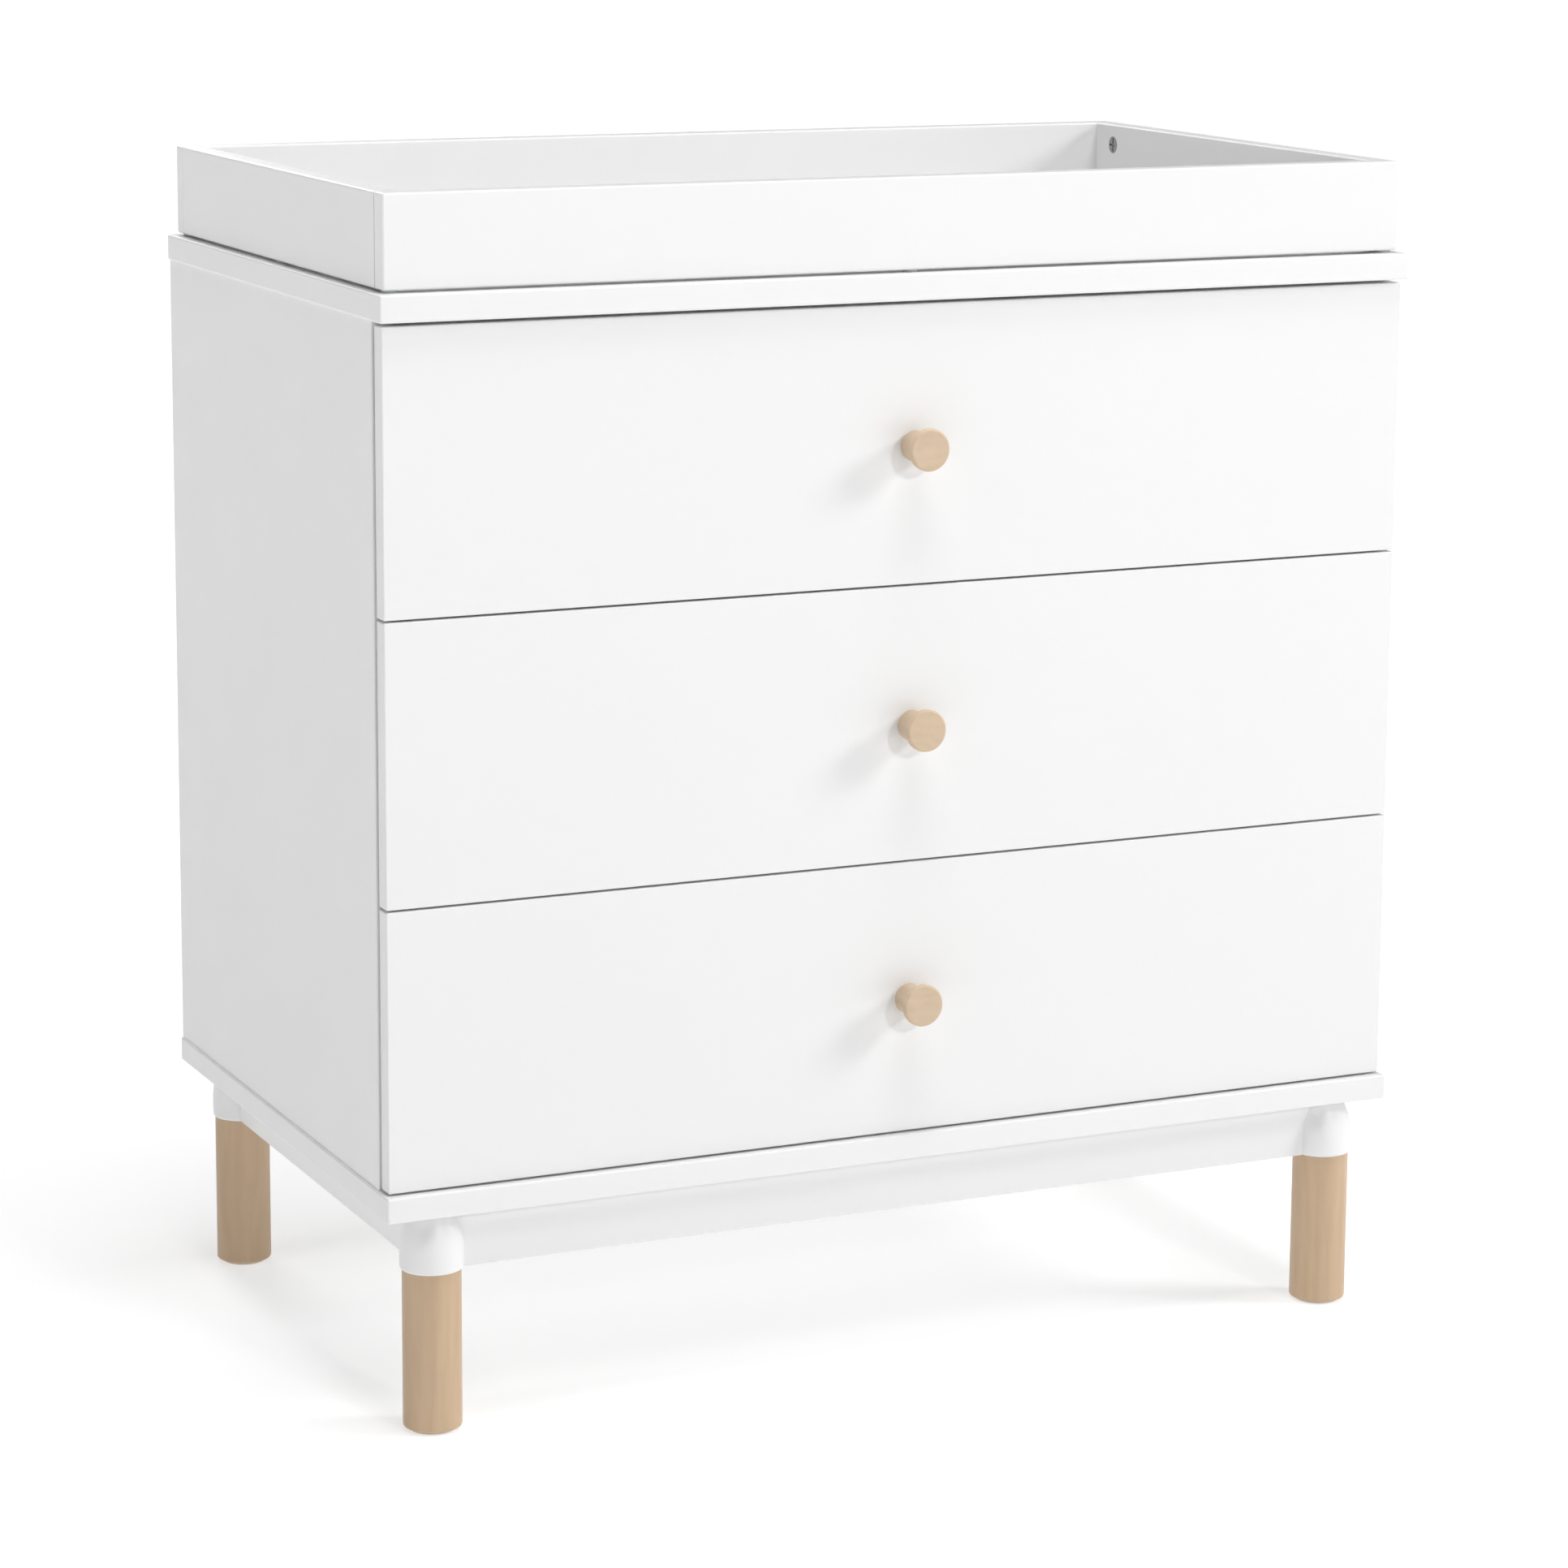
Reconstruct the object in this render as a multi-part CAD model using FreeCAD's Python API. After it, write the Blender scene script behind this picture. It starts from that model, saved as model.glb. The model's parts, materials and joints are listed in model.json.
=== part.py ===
"""Changing table: a three-drawer cabinet on round legs, with a lift-off changing tray on its top.

Millimetres, +Z up. The front faces -Y and +X is the viewer's right. The origin is on the floor, under
the middle of the whole object, knobs and rear fittings included.
"""
import FreeCAD
import Part

import math
import os

V = FreeCAD.Vector

# how far a quarter-round's middle stands in from the corner it rounds, as a share of its radius
corner_share = 1.0 - math.sqrt(0.5)

# ---------------------------------------------------------------- driving dimensions
# cabinet
width = 883.0                 # top and bottom panels
depth = 515.0
top_thickness = 21.0
bottom_thickness = 20.0
side_thickness = 18.0
side_inset = 2.0              # side panels sit this far in from the ends of the top panel
back_thickness = 4.0
back_rebate = 9.0             # how far the back panel lies in each side panel
rail_thickness = 18.0
rail_depth = 60.0
panel_round = 1.8             # rounded edges of the top and bottom panels
board_round = 1.0             # rounded edges of the side panels

# drawers
front_height = 219.2
front_thickness = 16.0
front_round = 1.2
front_end_inset = 3.5         # from the ends of the top panel
face_setback = 7.0            # drawer faces behind the front edge of the top panel
gap_under_top = 3.1
gap_between_fronts = 1.6
gap_over_bottom = 1.6
gap_behind_front = 2.0        # closed drawer front to the front edges of the side panels
box_wall = 12.0
box_lift = 24.0               # drawer box above the lower edge of its front
box_top_clearance = 35.2      # drawer box below the upper edge of its front
box_rear_clearance = 30.0
base_sheet = 5.0              # drawer bottom
base_groove = 5.0             # depth of the groove that holds it
base_lift = 12.0
groove_clearance = 0.2

# three-part ball slides
slide_space = 13.0            # side panel to drawer box
slide_height = 45.0
slide_sheet = 1.2
slide_play = 0.5              # between neighbouring slide members
slide_end_clearance = 8.0     # slides are this much shorter than the drawer box
slide_front_setback = 3.0
outer_flange = 8.5
middle_standoff = 2.0
middle_flange = 8.5
inner_flange = 8.8

# knobs
knob_length = 28.0
knob_face_radius = 16.8
knob_neck_radius = 12.2
knob_rim = 4.5                # width of the rim behind the face
knob_edge_round = 2.2
knob_flare = 8.0              # length of the flare from neck to rim
knob_flare_hollow = 1.0       # how far the flare curves in
knob_drop = 1.0               # below the middle of the drawer front
knob_screw_radius = 2.0
knob_screw_grip = 15.0        # length in the knob
screw_head_radius = 4.2
screw_head_height = 2.4

# base
underside_height = 175.0      # floor to the underside of the bottom panel
collar_bottom_height = 128.5
collar_overhang = 1.8         # collar radius over leg radius
collar_shoulder = 9.0         # how much the rounded shoulder narrows the collar at its top
collar_shoulder_height = 30.0
collar_foot_round = 2.5
leg_radius = 23.0
leg_foot_round = 2.5
leg_inset_x = 45.0            # leg axis from the ends of the bottom panel
leg_inset_y = 27.0            # leg axis from the front and rear edges of the bottom panel
apron_thickness = 18.0
apron_round = 1.5
corner_block_size = 62.0
corner_block_height = 24.0
leg_bolt_radius = 4.0
leg_bolt_in_leg = 38.0
leg_bolt_in_collar = 32.0
glide_height = 2.0
glide_radius = 18.0
glide_pin_radius = 1.5
glide_pin_length = 12.0

# tray
tray_height = 72.0
tray_board = 18.0
tray_round = 2.0
tray_end_inset = 6.0          # from the ends of the top panel
tray_front_inset = 10.0
tray_rear_inset = 9.0
pad_height = 2.0
pad_radius = 6.5
tray_cam_edge = 18.0          # cam centre from the upper and lower edges of the tray boards

# cam fittings
cam_radius = 7.5
cam_depth = 12.5
cam_distance = 30.0           # cam axis from the face of the board that is pulled up
cam_bolt_depth = 9.0          # bolt axis below the face that the cam is let into
cam_slot_width = 1.8
cam_slot_depth = 1.5
cam_mouth = 7.4
cam_skin = 4.5                # solid part of the cam behind its face
bolt_neck_radius = 2.5
bolt_bore_radius = 4.0
bolt_head_radius = 3.5
bolt_head_length = 3.0
bolt_thread_radius = 3.0
bolt_thread_length = 11.0
cabinet_cam_setback = 85.0    # from the front and rear edges of the side panels

# tray brackets and their hook screws
bracket_x = 250.0
bracket_width = 36.0
bracket_sheet = 1.5
bracket_height = 34.0         # upper flange, on the tray's rear board
bracket_gap = 0.5             # to the rear edge of the top panel
bracket_foot = 6.0            # lower flange below the hook screw
hook_radius = 2.5
hook_slot_clearance = 0.5
hook_head_radius = 5.5
hook_head_height = 2.2
hook_head_gap = 0.4
hook_grip = 22.0
bracket_screw_radius = 1.8
bracket_screw_length = 14.0
bracket_screw_spread = 20.0

# anti-tip brackets
anti_tip_x = 330.0
anti_tip_drop = 30.0          # plate centre below the underside of the top panel
anti_tip_width = 26.0
anti_tip_plate = 24.0         # flat half, against the back panel
anti_tip_tab = 20.0           # raised half, with the strap hole
anti_tip_sheet = 2.0
anti_tip_rise = 5.0
anti_tip_hole_radius = 2.5

# ---------------------------------------------------------------- derived places
rear_reach = anti_tip_rise + anti_tip_sheet
front_reach = knob_length - face_setback
front_edge = (front_reach - depth - rear_reach) / 2.0
rear_edge = front_edge + depth
half = width / 2.0

bottom_top = underside_height + bottom_thickness
drawer_pitch = front_height + gap_between_fronts
fronts_base = bottom_top + gap_over_bottom
fronts_top = fronts_base + 3 * front_height + 2 * gap_between_fronts
top_underside = fronts_top + gap_under_top
top_surface = top_underside + top_thickness

face_y = front_edge + face_setback
front_back_y = face_y + front_thickness
side_front_y = front_back_y + gap_behind_front
back_front_y = rear_edge - back_thickness

side_outer = half - side_inset
side_inner = side_outer - side_thickness
box_half = side_inner - slide_space
box_height = front_height - box_lift - box_top_clearance
box_rear_y = back_front_y - box_rear_clearance
slide_length = box_rear_y - front_back_y - slide_end_clearance
slide_front_y = side_front_y + slide_front_setback

collar_radius = leg_radius + collar_overhang
leg_x = half - leg_inset_x
leg_front_y = front_edge + leg_inset_y
leg_rear_y = rear_edge - leg_inset_y
corners = {
    "front_left": (-leg_x, leg_front_y),
    "front_right": (leg_x, leg_front_y),
    "rear_left": (-leg_x, leg_rear_y),
    "rear_right": (leg_x, leg_rear_y),
}

tray_base = top_surface + pad_height
tray_top = tray_base + tray_height
tray_half = half - tray_end_inset
tray_front_y = front_edge + tray_front_inset
tray_rear_y = rear_edge - tray_rear_inset
tray_cam_heights = (tray_base + tray_cam_edge, tray_top - tray_cam_edge)

hook_z = top_surface - top_thickness / 2.0

# the three drawers, from the top down, and the lower edge of each front
drawers = {
    "upper": fronts_base + 2 * drawer_pitch,
    "middle": fronts_base + drawer_pitch,
    "lower": fronts_base,
}

nodes = {}


# ---------------------------------------------------------------- shape helpers
def block(x0, x1, y0, y1, z0, z1):
    """Box between two corners."""
    return Part.makeBox(x1 - x0, y1 - y0, z1 - z0, V(x0, y0, z0))


def rounded(shape, radius):
    """All edges of a plain shape rounded."""
    return shape.makeFillet(radius, shape.Edges)


def rod(start, direction, radius, length):
    """Cylinder from a start point along a direction."""
    return Part.makeCylinder(radius, length, V(*start), V(*direction))


def mirrored(shape):
    """The same piece on the other side of the cabinet."""
    return shape.mirror(V(0, 0, 0), V(1, 0, 0))


def pair(shape):
    return [shape, mirrored(shape)]


def group(shapes):
    return Part.makeCompound(list(shapes))


def cut_all(shape, tools):
    tools = list(tools)
    return shape.cut(tools) if tools else shape


def along(start, direction, distance):
    """The point a distance along a direction."""
    return tuple(s + distance * d for s, d in zip(start, direction))


# ---------------------------------------------------------------- cam fittings
def cam(face_point, inward, towards):
    """Cam disc let into a board: inward runs into the board, towards points at its bolt."""
    body = rod(face_point, inward, cam_radius, cam_depth)
    across = V(*inward).cross(V(*towards))
    for arm in (V(*towards), across):
        start = V(*face_point) - arm * (cam_radius * 0.8)
        slot = Part.makeBox(cam_radius * 1.6, cam_slot_width, cam_slot_depth)
        slot.translate(V(0, -cam_slot_width / 2.0, 0))
        slot.Placement = placed(slot.Placement, start, arm, V(*inward))
        body = body.cut(slot)
    mouth = Part.makeBox(cam_radius * 2.0, cam_mouth, cam_depth)
    mouth.translate(V(-bolt_head_length, -cam_mouth / 2.0, cam_skin))
    mouth.Placement = placed(mouth.Placement, V(*face_point), V(*towards), V(*inward))
    return body.cut(mouth)


def placed(placement, origin, x_axis, z_axis):
    """A placement whose X and Z axes lie along the two given directions."""
    turn = FreeCAD.Rotation(x_axis, z_axis.cross(x_axis), z_axis, "XZY")
    return FreeCAD.Placement(origin, turn).multiply(placement)


def cam_bolt(joint_point, towards):
    """Cam bolt: its thread is in the pulled board, and its neck and head reach back to the cam."""
    back = tuple(-t for t in towards)
    neck_length = cam_distance - bolt_head_length / 2.0
    head_start = along(joint_point, back, neck_length)
    bolt = rod(joint_point, towards, bolt_thread_radius, bolt_thread_length)
    bolt = bolt.fuse(rod(joint_point, back, bolt_neck_radius, neck_length))
    return bolt.fuse(rod(head_start, back, bolt_head_radius, bolt_head_length)).removeSplitter()


def cam_pocket(face_point, inward, joint_point, towards):
    """The two holes in the board that holds the cam."""
    back = tuple(-t for t in towards)
    pocket = rod(face_point, inward, cam_radius, cam_depth)
    return pocket.fuse(rod(joint_point, back, bolt_bore_radius, cam_distance))


def bolt_hole(joint_point, towards):
    """The hole in the pulled board."""
    return rod(joint_point, towards, bolt_thread_radius, bolt_thread_length)


class CamJoint:
    """One cam, its bolt and the holes for both, on the right-hand side of the object."""

    def __init__(self, face_x, joint_y, joint_z, towards):
        inward = (1, 0, 0)
        joint = (face_x + cam_bolt_depth, joint_y, joint_z)
        at_cam = along(joint, towards, -cam_distance)
        face = (face_x, at_cam[1], at_cam[2])
        self.cam = cam(face, inward, towards)
        self.bolt = cam_bolt(joint, towards)
        self.pocket = cam_pocket(face, inward, joint, towards)
        self.hole = bolt_hole(joint, towards)


cabinet_cam_rows = (side_front_y + cabinet_cam_setback, rear_edge - cabinet_cam_setback)
top_joints = [
    CamJoint(side_inner, y, top_underside, (0, 0, 1)) for y in cabinet_cam_rows
]
bottom_joints = [
    CamJoint(side_inner, y, bottom_top, (0, 0, -1)) for y in cabinet_cam_rows
]
tray_front_joints = [
    CamJoint(tray_half - tray_board, tray_front_y + tray_board, z, (0, -1, 0))
    for z in tray_cam_heights
]
tray_rear_joints = [
    CamJoint(tray_half - tray_board, tray_rear_y - tray_board, z, (0, 1, 0))
    for z in tray_cam_heights
]


def both_sides(joints, name):
    """One kind of piece of some cam joints, on the right and on the left."""
    return [s for j in joints for s in pair(getattr(j, name))]


# ---------------------------------------------------------------- cabinet
def hook_screw(x):
    """Shoulder screw in the rear edge of the top panel, which the tray's bracket hooks over."""
    plate_rear = rear_edge + bracket_gap + bracket_sheet
    shank_end = plate_rear + hook_head_gap
    shank_start = rear_edge - hook_grip
    shank = rod((x, shank_start, hook_z), (0, 1, 0), hook_radius, shank_end - shank_start)
    head = rod((x, shank_end, hook_z), (0, 1, 0), hook_head_radius, hook_head_height)
    return shank.fuse(head).removeSplitter()


def top_panel():
    panel = rounded(block(-half, half, front_edge, rear_edge, top_underside, top_surface), panel_round)
    holes = both_sides(top_joints, "hole")
    holes += pair(rod((bracket_x, rear_edge, hook_z), (0, -1, 0), hook_radius, hook_grip))
    return cut_all(panel, holes)


def bottom_panel():
    panel = block(-half, half, front_edge, rear_edge, underside_height, bottom_top)
    return cut_all(rounded(panel, panel_round), both_sides(bottom_joints, "hole"))


def right_side_panel():
    panel = block(side_inner, side_outer, side_front_y, rear_edge, bottom_top, top_underside)
    front_edges = [e for e in panel.Edges if vertical_at(e, side_front_y)]
    panel = panel.makeFillet(board_round, front_edges)
    rebate = block(side_inner, side_inner + back_rebate, back_front_y, rear_edge, bottom_top, top_underside)
    return cut_all(panel, [rebate] + [j.pocket for j in top_joints + bottom_joints])


def vertical_at(edge, y):
    """Whether an edge is upright and lies in the plane of the given y."""
    box = edge.BoundBox
    return box.ZLength > box.XLength + box.YLength and abs(box.YMin - y) < 0.01


def back_panel():
    reach = side_inner + back_rebate
    return block(-reach, reach, back_front_y, rear_edge, bottom_top, top_underside)


def top_rails():
    under = top_underside - rail_thickness
    front = block(-side_inner, side_inner, side_front_y, side_front_y + rail_depth, under, top_underside)
    rear = block(-side_inner, side_inner, back_front_y - rail_depth, back_front_y, under, top_underside)
    return group([front, rear])


def drawer_dividers():
    """Two front rails, each behind the gap between two drawer fronts."""
    rail_rear = side_front_y + rail_depth
    rails = []
    for name in ("upper", "middle"):
        low = drawers[name] - (gap_between_fronts + rail_thickness) / 2.0
        rails.append(block(-side_inner, side_inner, side_front_y, rail_rear, low, low + rail_thickness))
    return group(rails)


nodes["top_panel"] = top_panel()
nodes["bottom_panel"] = bottom_panel()
nodes["right_side_panel"] = right_side_panel()
nodes["left_side_panel"] = mirrored(nodes["right_side_panel"])
nodes["back_panel"] = back_panel()
nodes["top_rails"] = top_rails()
nodes["drawer_dividers"] = drawer_dividers()
nodes["cabinet_cams"] = group(both_sides(top_joints + bottom_joints, "cam"))
nodes["cabinet_cam_bolts"] = group(both_sides(top_joints + bottom_joints, "bolt"))
nodes["tray_hook_screws"] = group([hook_screw(-bracket_x), hook_screw(bracket_x)])


# ---------------------------------------------------------------- slides
def channel(web_x, web_side, flange, height, z_middle):
    """A C-shaped slide member on the right: web_side is +1 when its web faces the side panel."""
    x0, x1 = sorted((web_x, web_x - web_side * flange))
    low = z_middle - height / 2.0
    high = z_middle + height / 2.0
    rear = slide_front_y + slide_length
    outside = block(x0, x1, slide_front_y, rear, low, high)
    shift = -web_side * slide_sheet
    hollow = block(x0, x1, slide_front_y, rear, low + slide_sheet, high - slide_sheet)
    hollow.translate(V(shift, 0, 0))
    return outside.cut(hollow)


def slide_members(z_middle):
    """Outer, middle and inner member of the right-hand slide at one height."""
    step = 2.0 * (slide_sheet + slide_play)
    outer = channel(side_inner, 1, outer_flange, slide_height, z_middle)
    middle = channel(side_inner - middle_standoff, 1, middle_flange, slide_height - step, z_middle)
    inner = channel(box_half, -1, inner_flange, slide_height - 2.0 * step, z_middle)
    return outer, middle, inner


# ---------------------------------------------------------------- drawers
def knob_profile():
    """Half outline of a knob, turned about its axis: distance out from the drawer face along -Y."""
    shoulder = knob_length - knob_rim
    neck = shoulder - knob_flare
    rim = knob_length - knob_edge_round
    turn = knob_edge_round * corner_share
    inner = knob_face_radius - knob_edge_round
    points = [
        V(0, 0, 0),
        V(knob_neck_radius, 0, 0),
        V(knob_neck_radius, -neck, 0),
        V(knob_face_radius, -shoulder, 0),
        V(knob_face_radius, -rim, 0),
        V(inner, -knob_length, 0),
        V(0, -knob_length, 0),
    ]
    flare = (points[2] + points[3]) / 2.0 - V(knob_flare_hollow, knob_flare_hollow, 0)
    corner = V(knob_face_radius - turn, turn - knob_length, 0)
    edges = [
        Part.makeLine(points[0], points[1]),
        Part.makeLine(points[1], points[2]),
        Part.Arc(points[2], flare, points[3]).toShape(),
        Part.makeLine(points[3], points[4]),
        Part.Arc(points[4], corner, points[5]).toShape(),
        Part.makeLine(points[5], points[6]),
        Part.makeLine(points[6], points[0]),
    ]
    return Part.Face(Part.Wire(edges))


def knob(z):
    body = knob_profile().revolve(V(0, 0, 0), V(0, 1, 0), 360)
    body.translate(V(0, face_y, z))
    return body.cut(rod((0, face_y, z), (0, -1, 0), knob_screw_radius, knob_screw_grip))


def knob_screw(z):
    length = front_thickness + knob_screw_grip
    shank = rod((0, front_back_y, z), (0, -1, 0), knob_screw_radius, length)
    head = rod((0, front_back_y, z), (0, 1, 0), screw_head_radius, screw_head_height)
    return shank.fuse(head).removeSplitter()


def drawer(name, front_low):
    """All pieces of one drawer, with its slides."""
    front_high = front_low + front_height
    box_low = front_low + box_lift
    box_high = box_low + box_height
    knob_z = (front_low + front_high) / 2.0 - knob_drop
    slide_z = (box_low + box_high) / 2.0
    inside = box_half - box_wall

    base_low = box_low + base_lift
    base_reach = inside + base_groove
    base_front = front_back_y - base_groove
    base_rear = box_rear_y - box_wall + base_groove
    groove = block(
        -base_reach - groove_clearance,
        base_reach + groove_clearance,
        base_front - groove_clearance,
        base_rear + groove_clearance,
        base_low,
        base_low + base_sheet,
    )
    edge = half - front_end_inset
    front = rounded(block(-edge, edge, face_y, front_back_y, front_low, front_high), front_round)
    screw_hole = rod((0, face_y, knob_z), (0, 1, 0), knob_screw_radius, front_thickness)
    side = block(inside, box_half, front_back_y, box_rear_y, box_low, box_high).cut(groove)
    back = block(-inside, inside, box_rear_y - box_wall, box_rear_y, box_low, box_high)

    nodes[name + "_drawer_front"] = front.cut([groove, screw_hole])
    nodes[name + "_drawer_sides"] = group(pair(side))
    nodes[name + "_drawer_back"] = back.cut(groove)
    nodes[name + "_drawer_bottom"] = block(
        -base_reach, base_reach, base_front, base_rear, base_low, base_low + base_sheet
    )
    nodes[name + "_knob"] = knob(knob_z)
    nodes[name + "_knob_screw"] = knob_screw(knob_z)

    outer, middle, inner = slide_members(slide_z)
    nodes[name + "_middle_slides"] = group(pair(middle))
    nodes[name + "_inner_slides"] = group(pair(inner))
    return pair(outer)


outer_slides = []
for drawer_name, lower_edge in drawers.items():
    outer_slides += drawer(drawer_name, lower_edge)
nodes["outer_slides"] = group(outer_slides)


# ---------------------------------------------------------------- base
def shoulder_edge(top, foot):
    """Arc between two points of an outline, upright where it leaves the lower one."""
    run = foot.x - top.x
    rise = top.z - foot.z
    radius = (rise * rise + run * run) / (2.0 * run)
    turn = math.asin(rise / radius) / 2.0
    middle = V(foot.x - radius * (1.0 - math.cos(turn)), 0, foot.z + radius * math.sin(turn))
    return Part.Arc(foot, middle, top).toShape()


def turned_collar(x, y, foot_round):
    """Collar above a leg: a short round post with a rounded shoulder under the bottom panel."""
    low = collar_bottom_height
    high = underside_height
    shoulder = high - collar_shoulder_height
    neck = collar_radius - collar_shoulder
    edges = [
        Part.makeLine(V(0, 0, low), V(collar_radius - foot_round, 0, low)),
        Part.makeLine(V(collar_radius, 0, low + foot_round), V(collar_radius, 0, shoulder)),
        shoulder_edge(V(neck, 0, high), V(collar_radius, 0, shoulder)),
        Part.makeLine(V(neck, 0, high), V(0, 0, high)),
        Part.makeLine(V(0, 0, high), V(0, 0, low)),
    ]
    if foot_round > 0:
        turn = foot_round * corner_share
        middle = V(collar_radius - turn, 0, low + turn)
        foot = Part.Arc(V(collar_radius - foot_round, 0, low), middle, V(collar_radius, 0, low + foot_round))
        edges.insert(1, foot.toShape())
    body = Part.Face(Part.Wire(edges)).revolve(V(0, 0, 0), V(0, 0, 1), 360)
    body.translate(V(x, y, 0))
    return body


def leg_bolt(x, y):
    start = collar_bottom_height - leg_bolt_in_leg
    return rod((x, y, start), (0, 0, 1), leg_bolt_radius, leg_bolt_in_leg + leg_bolt_in_collar)


def glide(x, y):
    disc = rod((x, y, 0), (0, 0, 1), glide_radius, glide_height)
    pin = rod((x, y, 0), (0, 0, 1), glide_pin_radius, glide_height + glide_pin_length)
    return disc.fuse(pin).removeSplitter()


def leg(x, y):
    post = rod((x, y, glide_height), (0, 0, 1), leg_radius, collar_bottom_height - glide_height)
    foot = [e for e in post.Edges if e.BoundBox.ZMax < glide_height + 0.01]
    return post.makeFillet(leg_foot_round, foot).cut([leg_bolt(x, y), glide(x, y)])


collar_blanks = [turned_collar(x, y, 0.0) for x, y in corners.values()]


def apron(x0, x1, y0, y1):
    """A rail of the base, with its lower edges rounded and its ends shaped to the collars."""
    board = block(x0, x1, y0, y1, collar_bottom_height, underside_height)
    along_x = x1 - x0 > y1 - y0
    lower = [e for e in board.Edges if e.BoundBox.ZMax < collar_bottom_height + 0.01]
    lower = [e for e in lower if (e.BoundBox.XLength > e.BoundBox.YLength) == along_x]
    return board.makeFillet(apron_round, lower).cut(collar_blanks)


def corner_block(x, y):
    """Three-sided block in a corner of the base, between two aprons and against the collar."""
    side = -1.0 if x > 0 else 1.0
    front = -1.0 if y > 0 else 1.0
    inner_x = x + side * apron_thickness / 2.0
    inner_y = y + front * apron_thickness / 2.0
    low = underside_height - corner_block_height
    points = [
        V(inner_x, inner_y, low),
        V(inner_x + side * corner_block_size, inner_y, low),
        V(inner_x, inner_y + front * corner_block_size, low),
    ]
    outline = Part.makePolygon(points + points[:1])
    return Part.Face(outline).extrude(V(0, 0, corner_block_height)).cut(collar_blanks)


for corner, (corner_x, corner_y) in corners.items():
    collar = turned_collar(corner_x, corner_y, collar_foot_round)
    nodes[corner + "_collar"] = collar.cut(leg_bolt(corner_x, corner_y))
    nodes[corner + "_leg"] = leg(corner_x, corner_y)
nodes["leg_bolts"] = group(leg_bolt(x, y) for x, y in corners.values())
nodes["floor_glides"] = group(glide(x, y) for x, y in corners.values())
nodes["corner_blocks"] = group(corner_block(x, y) for x, y in corners.values())

apron_half = apron_thickness / 2.0
nodes["front_apron"] = apron(-leg_x, leg_x, leg_front_y - apron_half, leg_front_y + apron_half)
nodes["rear_apron"] = apron(-leg_x, leg_x, leg_rear_y - apron_half, leg_rear_y + apron_half)
nodes["left_apron"] = apron(-leg_x - apron_half, -leg_x + apron_half, leg_front_y, leg_rear_y)
nodes["right_apron"] = mirrored(nodes["left_apron"])


# ---------------------------------------------------------------- tray
def bracket_screw_places():
    """X and Z of the screws that hold the brackets on the tray."""
    height = tray_base + bracket_height / 2.0
    for bracket_middle in (-bracket_x, bracket_x):
        for offset in (-bracket_screw_spread / 2.0, bracket_screw_spread / 2.0):
            yield bracket_middle + offset, height


def bracket_screw(x, z):
    plate_rear = tray_rear_y + bracket_sheet
    shank = rod((x, plate_rear, z), (0, -1, 0), bracket_screw_radius, bracket_screw_length)
    head = rod((x, plate_rear, z), (0, 1, 0), screw_head_radius, screw_head_height)
    return shank.fuse(head).removeSplitter()


def tray_bracket(x):
    """Stepped steel plate on the tray's rear board, slotted to drop over a hook screw."""
    x0 = x - bracket_width / 2.0
    x1 = x + bracket_width / 2.0
    step_low = top_surface + (pad_height - bracket_sheet) / 2.0
    step_high = step_low + bracket_sheet
    lower_y = rear_edge + bracket_gap
    foot_z = hook_z - bracket_foot
    upper = block(x0, x1, tray_rear_y, tray_rear_y + bracket_sheet, step_low, tray_base + bracket_height)
    step = block(x0, x1, tray_rear_y, lower_y + bracket_sheet, step_low, step_high)
    lower = block(x0, x1, lower_y, lower_y + bracket_sheet, foot_z, step_high)
    plate = upper.fuse([step, lower]).removeSplitter()
    slot_radius = hook_radius + hook_slot_clearance
    slot_top = rod((x, lower_y - 1, hook_z), (0, 1, 0), slot_radius, bracket_sheet + 2)
    slot = block(
        x - slot_radius, x + slot_radius, lower_y - 1, lower_y + bracket_sheet + 1, foot_z - 1, hook_z
    )
    screws = [bracket_screw(*place) for place in bracket_screw_places()]
    return plate.cut([slot_top, slot] + screws)


def tray_long_board(y0, y1, joints, extra):
    board = rounded(block(-tray_half, tray_half, y0, y1, tray_base, tray_top), tray_round)
    return cut_all(board, both_sides(joints, "hole") + extra)


def right_tray_board():
    y0 = tray_front_y + tray_board
    y1 = tray_rear_y - tray_board
    board = block(tray_half - tray_board, tray_half, y0, y1, tray_base, tray_top)
    long_edges = [e for e in board.Edges if e.BoundBox.YLength > (y1 - y0) / 2.0]
    board = board.makeFillet(tray_round, long_edges)
    return cut_all(board, [j.pocket for j in tray_front_joints + tray_rear_joints])


def tray_pads():
    """Round pads under the tray: at the corners, and midway along each board."""
    front = tray_front_y + tray_board / 2.0
    rear = tray_rear_y - tray_board / 2.0
    end = tray_half - tray_board / 2.0
    middle = (front + rear) / 2.0
    places = [(x, y) for x in (-end, 0.0, end) for y in (front, rear)]
    places += [(-end, middle), (end, middle)]
    return group(rod((x, y, top_surface), (0, 0, 1), pad_radius, pad_height) for x, y in places)


tray_screws = [bracket_screw(*place) for place in bracket_screw_places()]
nodes["tray_front_board"] = tray_long_board(tray_front_y, tray_front_y + tray_board, tray_front_joints, [])
nodes["tray_rear_board"] = tray_long_board(
    tray_rear_y - tray_board, tray_rear_y, tray_rear_joints, tray_screws
)
nodes["tray_right_board"] = right_tray_board()
nodes["tray_left_board"] = mirrored(nodes["tray_right_board"])
nodes["tray_cams"] = group(both_sides(tray_front_joints + tray_rear_joints, "cam"))
nodes["tray_cam_bolts"] = group(both_sides(tray_front_joints + tray_rear_joints, "bolt"))
nodes["tray_pads"] = tray_pads()
nodes["tray_brackets"] = group([tray_bracket(-bracket_x), tray_bracket(bracket_x)])
nodes["tray_bracket_screws"] = group(tray_screws)


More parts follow.
